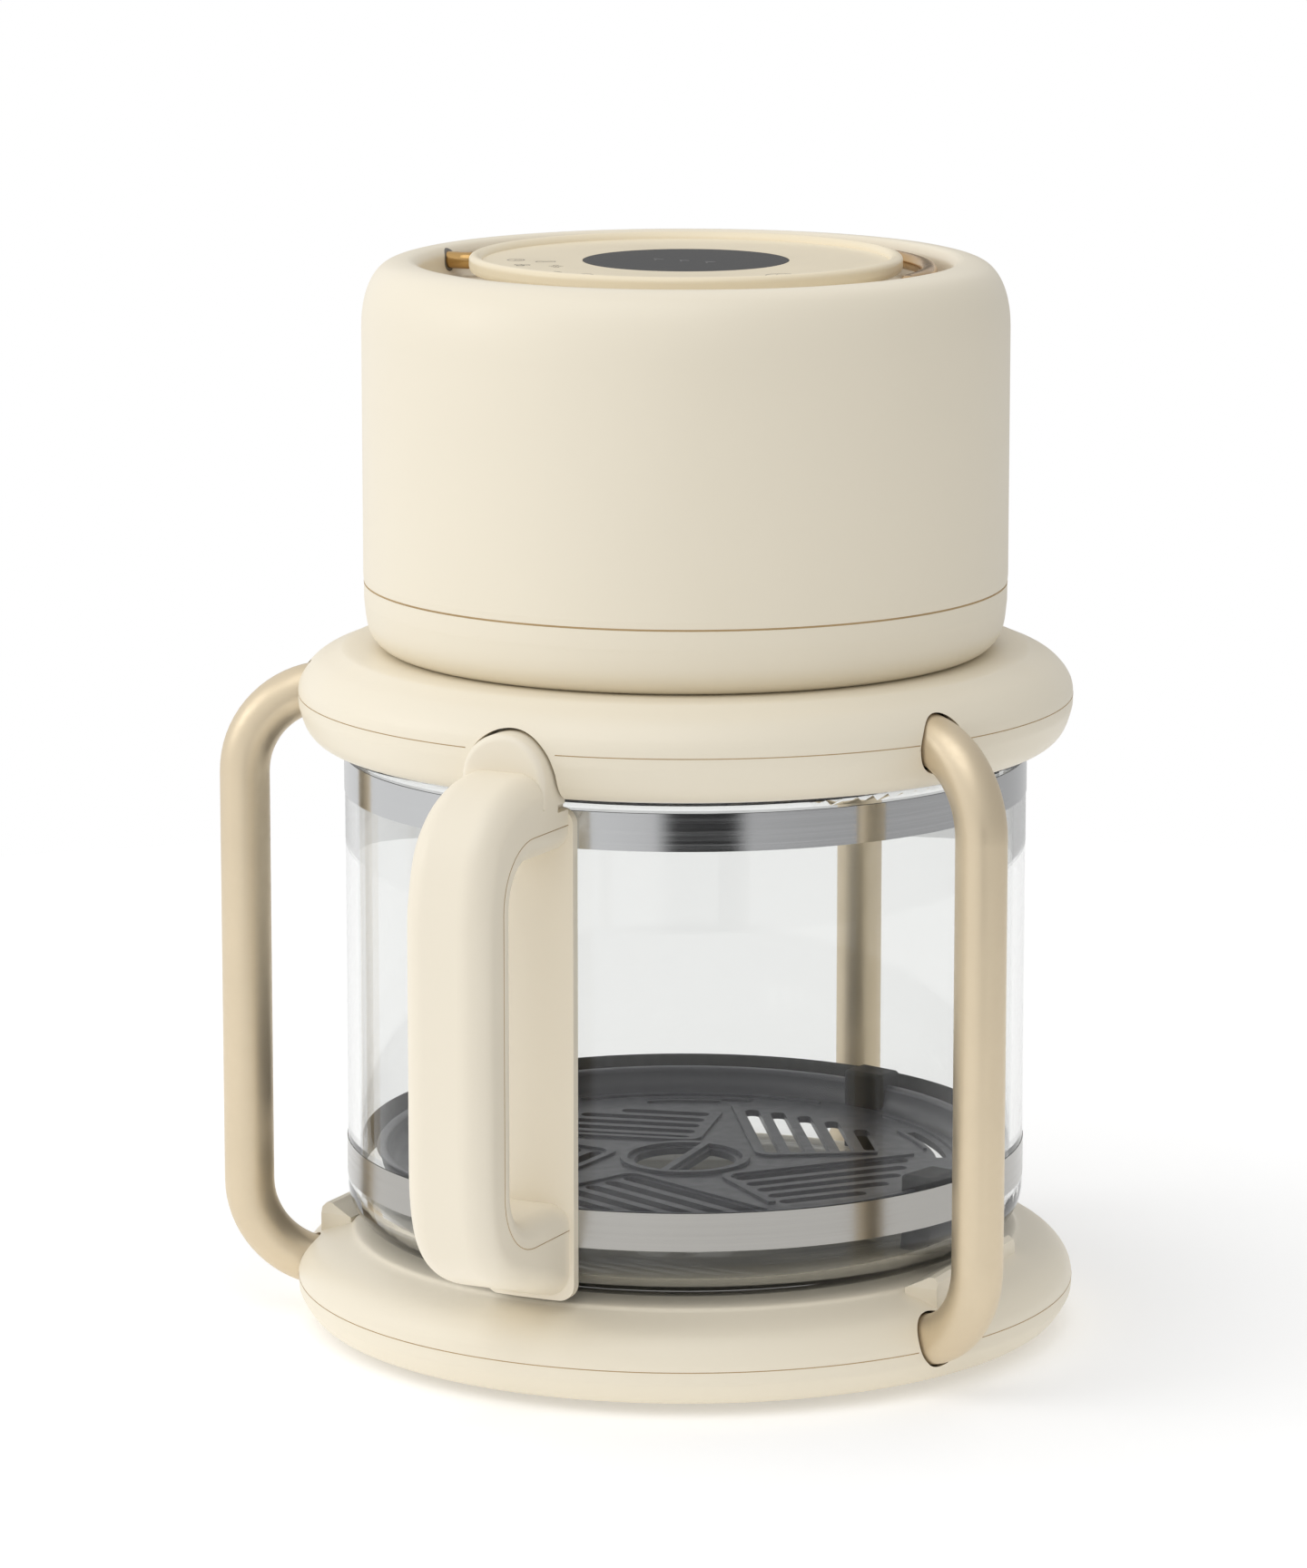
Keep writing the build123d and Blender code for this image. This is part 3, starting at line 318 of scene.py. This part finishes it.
def lathe(bm, prof, n=256, a0=0.0, a1=360.0):
    """Turn (r, z) points in mm about Z. Closed profile, full or part turn."""
    full = abs(a1 - a0) >= 359.99
    cols = []
    steps = n if full else n + 1
    for i in range(steps):
        a = math.radians(a0 + (a1 - a0) * i / n)
        cols.append([bm.verts.new((r * math.cos(a) / 1000, r * math.sin(a) / 1000, z / 1000)) for r, z in prof])
    k = len(prof)
    for i in range(n):
        c0, c1 = cols[i], cols[(i + 1) % steps]
        for j in range(k):
            bm.faces.new((c0[j], c1[j], c1[(j + 1) % k], c0[(j + 1) % k]))
    if not full:
        bm.faces.new(cols[0])
        bm.faces.new(list(reversed(cols[-1])))


def tube_along(bm, pts, rad, sides=10, closed=False):
    """Round wire through points (metres)."""
    pts = [Vector(p) for p in pts]
    rings = []
    prev_n = None
    for i, p in enumerate(pts):
        a = pts[i - 1] if (i > 0 or closed) else pts[i]
        b = pts[(i + 1) % len(pts)] if (i < len(pts) - 1 or closed) else pts[i]
        t = (b - a).normalized()
        if prev_n is None:
            ref = Vector((0, 0, 1)) if abs(t.z) < 0.9 else Vector((1, 0, 0))
            nrm = (ref - t * ref.dot(t)).normalized()
        else:
            nrm = (prev_n - t * prev_n.dot(t)).normalized()
        prev_n = nrm
        bi = t.cross(nrm)
        rings.append([bm.verts.new(p + nrm * rad * math.cos(2 * math.pi * k / sides) + bi * rad * math.sin(2 * math.pi * k / sides)) for k in range(sides)])
    m = len(rings)
    for i in range(m if closed else m - 1):
        r0, r1 = rings[i], rings[(i + 1) % m]
        for k in range(sides):
            bm.faces.new((r0[k], r1[k], r1[(k + 1) % sides], r0[(k + 1) % sides]))
    if not closed:
        bm.faces.new(list(reversed(rings[0])))
        bm.faces.new(rings[-1])


# seam lines: a thin tan shadow line set in each joint between covers
seam_mat = M("seam_line_look", srgb(176, 148, 104), 0.7)
seam_mat.to("Base Color", seam_mat.ramp(seam_mat.noise(25.0, 2.0), [(0.3, srgb(168, 140, 96)), (0.7, srgb(184, 156, 112))]))
seam_mat = seam_mat.m

# ---------------------------------------------------------------- seam lines
def arcs_between(gaps):
    """Turn a list of (centre, half width) gaps in degrees into the arcs between them."""
    g = sorted(((c - h) % 360, (c + h) % 360) for c, h in gaps)
    out = []
    for i in range(len(g)):
        a0 = g[i][1]
        a1 = g[(i + 1) % len(g)][0]
        if a1 <= a0:
            a1 += 360
        out.append((a0, a1))
    return out


def seam(name, r, z, half, proud, body, gaps=()):
    bm = bmesh.new()
    prof = [(r - 0.4, z - half), (r + proud * 0.6, z - half), (r + proud, z), (r + proud * 0.6, z + half), (r - 0.4, z + half)]
    if gaps:
        for a0, a1 in arcs_between(gaps):
            lathe(bm, prof, max(24, int(abs(a1 - a0))), a0, a1)
    else:
        lathe(bm, prof, 300)
    return new_mesh(name, bm, seam_mat, body)


def world_angle(product_deg):
    """Angle from the front (-Y) towards +X, as an angle from +X."""
    return (product_deg - 90) % 360


POST_DEG = (65.25, -65.25, 180.0)
seam("head_seam_line", 102.12, 241.1, 0.28, 0.05, "frame")
hole_gap = [(world_angle(d), 4.2) for d in POST_DEG]
seam("ring_seam_line", 123.3, 205.5, 0.14, 0.05, "frame", hole_gap + [(world_angle(0), 7.1)])
seam("base_seam_line", 125.0, 15.0, 0.14, 0.05, "frame", hole_gap)


# -------------------------------------------------- symbols on the control disc
ink = M("panel_ink_look", srgb(150, 142, 128), 0.5)
ink.to("Base Color", ink.ramp(ink.noise(200.0, 2.0), [(0.3, srgb(144, 136, 122)), (0.7, srgb(156, 148, 134))]))
ink = ink.m
lit = M("display_ink_look", srgb(150, 150, 150), 0.4)
lit.to("Base Color", lit.ramp(lit.noise(200.0, 2.0), [(0.3, srgb(140, 140, 140)), (0.7, srgb(158, 158, 158))]))
lit = lit.m


class Flat:
    """Thin printed shapes lying on a flat face at height z (mm)."""

    def __init__(self, z, thick=0.04):
        self.bm = bmesh.new()
        self.z, self.t = z, thick
        self.mtx = Matrix.Identity(3)
        self.off = Vector((0, 0))

    def place(self, r, deg, turn=0.0):
        """Put the next shapes at radius r and angle deg from the front, their top towards the middle."""
        a = math.radians(deg)
        self.off = Vector((r * math.sin(a), -r * math.cos(a)))
        self.rot = a + math.radians(turn)

    def at(self, x, y):
        c, s = math.cos(self.rot), math.sin(self.rot)
        return (self.off.x + x * c - y * s, self.off.y + x * s + y * c)

    def poly(self, pts):
        pts = [self.at(*p) for p in pts]
        lo = [self.bm.verts.new((x / 1000, y / 1000, (self.z - 0.02) / 1000)) for x, y in pts]
        hi = [self.bm.verts.new((x / 1000, y / 1000, (self.z + self.t) / 1000)) for x, y in pts]
        self.bm.faces.new(hi)
        self.bm.faces.new(list(reversed(lo)))
        n = len(pts)
        for i in range(n):
            self.bm.faces.new((lo[i], lo[(i + 1) % n], hi[(i + 1) % n], hi[i]))

    def line(self, x0, y0, x1, y1, w=0.5):
        d = Vector((x1 - x0, y1 - y0)).normalized()
        n = Vector((-d.y, d.x)) * w / 2
        self.poly([(x0 - n.x, y0 - n.y), (x1 - n.x, y1 - n.y), (x1 + n.x, y1 + n.y), (x0 + n.x, y0 + n.y)])

    def arc(self, cx, cy, r, a0, a1, w=0.5, n=28):
        k = max(3, int(n * abs(a1 - a0) / 360))
        for i in range(k):
            p = math.radians(a0 + (a1 - a0) * i / k)
            q = math.radians(a0 + (a1 - a0) * (i + 1) / k)
            self.poly([(cx + (r - w / 2) * math.cos(p), cy + (r - w / 2) * math.sin(p)),
                       (cx + (r + w / 2) * math.cos(p), cy + (r + w / 2) * math.sin(p)),
                       (cx + (r + w / 2) * math.cos(q), cy + (r + w / 2) * math.sin(q)),
                       (cx + (r - w / 2) * math.cos(q), cy + (r - w / 2) * math.sin(q))])

    def disc(self, cx, cy, r, n=20):
        self.poly([(cx + r * math.cos(2 * math.pi * i / n), cy + r * math.sin(2 * math.pi * i / n)) for i in range(n)])


f = Flat(342.4)
# left: four functions in two rows
f.place(53.5, -64)
f.arc(0, 0, 2.6, 0, 360, 0.45)
f.line(0, 0, 0, 1.9, 0.45)
f.line(0, 0, 1.3, -0.5, 0.45)
f.place(44.5, -58)
f.arc(0, -1.6, 1.3, -230, 50, 0.45)
f.line(-0.85, -0.7, -0.85, 2.4, 0.45)
f.line(0.85, -0.7, 0.85, 2.4, 0.45)
f.arc(0, 2.4, 0.85, 0, 180, 0.45)
f.place(53.5, -48)
for k in range(3):
    f.arc(1.5 * math.cos(math.radians(90 + 120 * k)), 1.5 * math.sin(math.radians(90 + 120 * k)), 1.15, 0, 360, 0.4)
f.disc(0, 0, 0.5)
f.place(44.5, -40)
for k in range(3):
    x = -1.9 + 1.9 * k
    f.arc(x, 0.9, 0.9, 110, 250, 0.4)
    f.arc(x, -0.9, 0.9, -70, 70, 0.4)
# along the front: minus, plus, a bar of ticks
f.place(52.0, -24)
f.line(-1.8, 0, 1.8, 0, 0.55)
f.place(52.0, -11)
f.arc(0, 0, 2.4, 0, 360, 0.4)
f.line(-1.2, 0, 1.2, 0, 0.45)
f.line(0, -1.2, 0, 1.2, 0.45)
for k, d in enumerate((-2, 2, 6, 10)):
    f.place(52.0, d)
    f.line(0, -1.0, 0, 1.0, 0.4)
f.place(52.0, 24)
f.poly([(-1.3, -1.7), (1.9, 0), (-1.3, 1.7)])
f.place(52.0, 36)
f.line(-0.8, -1.6, -0.8, 1.6, 0.55)
f.line(0.8, -1.6, 0.8, 1.6, 0.55)
# right: the round switch symbol
f.place(52.5, 60)
f.arc(0, 0, 5.0, 0, 360, 0.4, 40)
f.arc(0, -0.2, 2.3, 130, 410, 0.55)
f.line(0, 0.2, 0, 2.8, 0.55)
new_mesh("panel_symbols", f.bm, ink, "frame")

d = Flat(342.4, 0.03)
for k, x in enumerate((-9.0, 0.0, 9.0)):
    d.place(0, 0)
    d.line(x - 1.7, -1.0, x + 1.7, -1.0, 0.28)
    d.disc(x, -3.4, 0.32)
new_mesh("display_marks", d.bm, lit, "frame")

# ------------------------------------------------ painted shadow line in the grip's parting joint
def opening_line(off, side, inset=0.0):
    """Line of the grip's parting: the finger opening grown by off, on one flank."""
    rr = 12.0 + off
    r1 = 146.0 + off
    z0, z1 = 63.0 - off, 174.0 + off
    pts = []
    x = side * 14.0
    r_in = math.sqrt(112.0 ** 2 - 14.0 ** 2)
    pts.append((r_in, z1))
    pts.append((r1 - rr, z1))
    for i in range(1, 12):
        a = math.radians(90 - 90 * i / 12)
        pts.append((r1 - rr + rr * math.cos(a), z1 - rr + rr * math.sin(a)))
    pts.append((r1, z1 - rr))
    pts.append((r1, z0 + rr))
    for i in range(1, 12):
        a = math.radians(-90 * i / 12)
        pts.append((r1 - rr + rr * math.cos(a), z0 + rr + rr * math.sin(a)))
    pts.append((r1 - rr, z0))
    pts.append((r_in, z0))
    return [(x / 1000, -r / 1000, z / 1000) for r, z in pts]


# the grip's parting joint is drawn with the tan seam material: a painted shadow line, not a colour of the grip
bm = bmesh.new()
for side in (-1, 1):
    tube_along(bm, opening_line(8.0, side), 0.00013, 6)
new_mesh("grip_parting_shadow_line", bm, seam_mat, "bowl")

# ------------------------------------------------------------------ the stage
bm = bmesh.new()
bmesh.ops.create_circle(bm, cap_ends=True, segments=96, radius=FLOOR_R)
me = bpy.data.meshes.new("floor")
bm.to_mesh(me)
bm.free()
floor = bpy.data.objects.new("floor", me)
bpy.context.scene.collection.objects.link(floor)
fm = M("floor_look", (0.92, 0.92, 0.92, 1), 0.9)
fm.p.inputs["Specular IOR Level"].default_value = 0.0
fm.p.inputs["Emission Color"].default_value = (1, 1, 1, 1)
fm.p.inputs["Emission Strength"].default_value = 0.24
me.materials.append(fm.m)
floor.location = (0, 0, -0.0002)

# the studio: pale all round, brighter from the left, with a dim gap low down
# on the side where a photographer would stand
world = bpy.data.worlds.new("studio")
bpy.context.scene.world = world
world.use_nodes = True
wn = world.node_tree
bg = wn.nodes["Background"]
bg.inputs["Color"].default_value = (1, 1, 1, 1)
tc = wn.nodes.new("ShaderNodeTexCoord")


def wdot(vec):
    n = wn.nodes.new("ShaderNodeVectorMath")
    n.operation = "DOT_PRODUCT"
    v = Vector(vec).normalized()
    n.inputs[1].default_value = v
    wn.links.new(tc.outputs["Generated"], n.inputs[0])
    return n.outputs["Value"]


def wmap(sock, f0, f1, t0, t1, smooth_step=True):
    n = wn.nodes.new("ShaderNodeMapRange")
    n.interpolation_type = "SMOOTHSTEP" if smooth_step else "LINEAR"
    n.inputs["From Min"].default_value = f0
    n.inputs["From Max"].default_value = f1
    n.inputs["To Min"].default_value = t0
    n.inputs["To Max"].default_value = t1
    wn.links.new(sock, n.inputs["Value"])
    return n.outputs["Result"]


def wmath(op, a, b):
    n = wn.nodes.new("ShaderNodeMath")
    n.operation = op
    for i, x in enumerate((a, b)):
        if isinstance(x, (int, float)):
            n.inputs[i].default_value = x
        else:
            wn.links.new(x, n.inputs[i])
    return n.outputs["Value"]


side_light = wmap(wdot(LEFT_DIR), -0.9, 0.9, W_RIGHT, W_LEFT)
gap = wmap(wdot(GAP_DIR), GAP_COS0, GAP_COS1, 1.0, GAP_LOW)
back = wmap(wdot(BACK_DIR), BACK_COS0, BACK_COS1, 1.0, BACK_LOW)
level = wmath("MULTIPLY", wmath("MULTIPLY", side_light, gap), back)
lp = wn.nodes.new("ShaderNodeLightPath")
mixn = wn.nodes.new("ShaderNodeMix")
mixn.data_type = "FLOAT"
wn.links.new(lp.outputs["Is Camera Ray"], mixn.inputs[0])
wn.links.new(level, mixn.inputs[2])
mixn.inputs[3].default_value = 1.0
wn.links.new(mixn.outputs[0], bg.inputs["Strength"])


def area(name, loc, target, size, power, color=(1, 1, 1), size_y=None):
    d = bpy.data.lights.new(name, "AREA")
    d.energy = power
    d.color = color
    d.shape = "RECTANGLE" if size_y else "SQUARE"
    d.size = size
    if size_y:
        d.size_y = size_y
    o = bpy.data.objects.new(name, d)
    bpy.context.scene.collection.objects.link(o)
    o.location = loc
    o.rotation_euler = (Vector(target) - Vector(loc)).to_track_quat("-Z", "Y").to_euler()
    return o


area("key_left", (-1.5, -1.0, 1.0), (0, 0, 0.18), 1.0, 4)
area("top_soft", (0.0, -0.8, 1.8), (0, 0, 0.2), 1.4, 6)

# ----------------------------------------------------------------- the camera
cam_d = bpy.data.cameras.new("camera")
cam = bpy.data.objects.new("camera", cam_d)
bpy.context.scene.collection.objects.link(cam)
cam.location = (0.8920, -1.8535, 0.5680)
aim = Vector((-0.0092, -0.0044, 0.1744))
cam.rotation_euler = (aim - cam.location).to_track_quat("-Z", "Y").to_euler()
cam_d.lens = 150.4
cam_d.sensor_width = 36.0
cam_d.sensor_fit = "AUTO"
cam_d.clip_start = 0.05
cam_d.clip_end = 50
bpy.context.scene.camera = cam
bpy.context.scene.view_settings.view_transform = "Standard"
bpy.context.scene.view_settings.look = "None"
bpy.context.scene.view_settings.exposure = 0.0
bpy.context.scene.view_settings.gamma = 1.0
